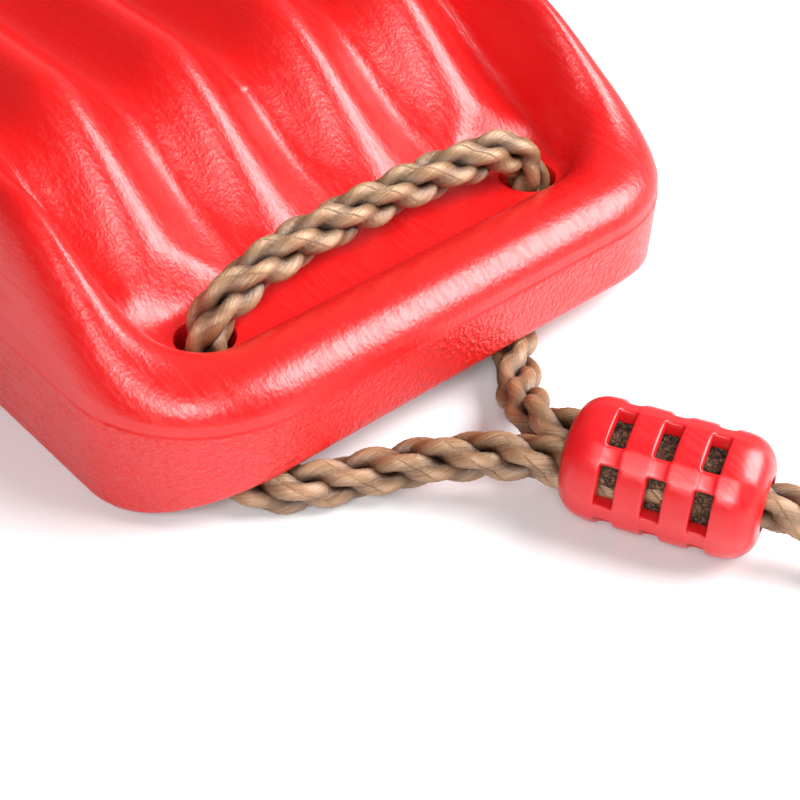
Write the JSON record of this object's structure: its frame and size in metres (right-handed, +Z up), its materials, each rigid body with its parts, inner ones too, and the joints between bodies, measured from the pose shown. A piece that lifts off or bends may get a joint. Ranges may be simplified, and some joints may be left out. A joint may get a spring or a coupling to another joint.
{
  "type": "rope swing seat",
  "caption": "Hollow ribbed plastic swing seat hung from a two-legged rope bridle at each end, with caged rope clamps and steel hanging rings.",
  "frame": {"origin": "centre of the seat's foot, on the floor plane", "axes": "+X along the seat to the pictured end, +Y across it, +Z up"},
  "size_m": [0.7854, 0.5516, 0.0691],
  "materials": {
    "seat_plastic": "glossy red blow-moulded polyethylene with a pebble-grained lower band",
    "clamp_plastic": "satin red injection-moulded plastic",
    "rope_fibre": "silky tan three-strand laid rope",
    "ring_steel": "zinc-plated round steel bar"
  },
  "bodies": {
    "seat": {"seat": "seat_plastic", "right_groove_rope": "rope_fibre", "left_groove_rope": "rope_fibre"},
    "right_bridle": {"right_near_leg": "rope_fibre", "right_far_leg": "rope_fibre"},
    "right_clamp": {"right_seat_clamp": "clamp_plastic", "right_clamp_rope": "rope_fibre", "right_tail_end": "rope_fibre"},
    "right_turn": {"right_turn_rope": "rope_fibre"},
    "right_hanger": {"right_long_rope": "rope_fibre", "right_top_clamp": "clamp_plastic", "right_eye_rope": "rope_fibre"},
    "right_ring": {"right_ring": "ring_steel"},
    "left_bridle": {"left_near_leg": "rope_fibre", "left_far_leg": "rope_fibre"},
    "left_clamp": {"left_seat_clamp": "clamp_plastic", "left_clamp_rope": "rope_fibre", "left_tail_end": "rope_fibre"},
    "left_turn": {"left_turn_rope": "rope_fibre"},
    "left_hanger": {"left_long_rope": "rope_fibre", "left_top_clamp": "clamp_plastic", "left_eye_rope": "rope_fibre"},
    "left_ring": {"left_ring": "ring_steel"}
  },
  "joints": [
    {"name": "right_rope_lift", "type": "hinge", "parent": "seat", "child": "right_bridle", "pos_m": [0.214, 0, 0.0125], "axis": [0, -1, 0], "range_deg": [0, 90]},
    {"name": "right_clamp_turn", "type": "hinge", "parent": "right_bridle", "child": "right_clamp", "pos_m": [0.2423, -0.00381, 0.014], "axis": [0, 0, -1], "range_deg": [0, 26], "deforming": ["right_near_leg", "right_far_leg", "right_clamp_rope", "right_tail_end"]},
    {"name": "right_uncurl_1", "type": "hinge", "parent": "right_clamp", "child": "right_turn", "pos_m": [0.37695, 0.08847, 0.005], "axis": [0, 0, -1], "range_deg": [0, 77], "deforming": ["right_clamp_rope", "right_turn_rope"]},
    {"name": "right_uncurl_2", "type": "hinge", "parent": "right_turn", "child": "right_hanger", "pos_m": [0.34615, 0.22191, 0.005], "axis": [0, 0, -1], "range_deg": [0, 77], "deforming": ["right_turn_rope", "right_long_rope"]},
    {"name": "right_ring_flip", "type": "hinge", "parent": "right_hanger", "child": "right_ring", "pos_m": [-0.23633, 0.24582, 0.0152], "axis": [0, 1, 0], "range_deg": [0, 120]},
    {"name": "left_rope_lift", "type": "hinge", "parent": "seat", "child": "left_bridle", "pos_m": [-0.214, 0, 0.0125], "axis": [0, 1, 0], "range_deg": [0, 90]},
    {"name": "left_clamp_turn", "type": "hinge", "parent": "left_bridle", "child": "left_clamp", "pos_m": [-0.2423, 0.00381, 0.014], "axis": [0, 0, -1], "range_deg": [0, 26], "deforming": ["left_near_leg", "left_far_leg", "left_clamp_rope", "left_tail_end"]},
    {"name": "left_uncurl_1", "type": "hinge", "parent": "left_clamp", "child": "left_turn", "pos_m": [-0.37695, -0.08847, 0.005], "axis": [0, 0, -1], "range_deg": [0, 77], "deforming": ["left_clamp_rope", "left_turn_rope"]},
    {"name": "left_uncurl_2", "type": "hinge", "parent": "left_turn", "child": "left_hanger", "pos_m": [-0.34615, -0.22191, 0.005], "axis": [0, 0, -1], "range_deg": [0, 77], "deforming": ["left_turn_rope", "left_long_rope"]},
    {"name": "left_ring_flip", "type": "hinge", "parent": "left_hanger", "child": "left_ring", "pos_m": [0.23633, -0.24582, 0.0152], "axis": [0, -1, 0], "range_deg": [0, 120]}
  ],
  "couplings": [
    {"joint": "right_uncurl_1", "follows": "right_rope_lift", "ratio": 0.85555},
    {"joint": "right_uncurl_2", "follows": "right_rope_lift", "ratio": 0.85555},
    {"joint": "right_clamp_turn", "follows": "right_rope_lift", "ratio": 0.28889},
    {"joint": "left_uncurl_1", "follows": "left_rope_lift", "ratio": 0.85555},
    {"joint": "left_uncurl_2", "follows": "left_rope_lift", "ratio": 0.85555},
    {"joint": "left_clamp_turn", "follows": "left_rope_lift", "ratio": 0.28889}
  ]
}
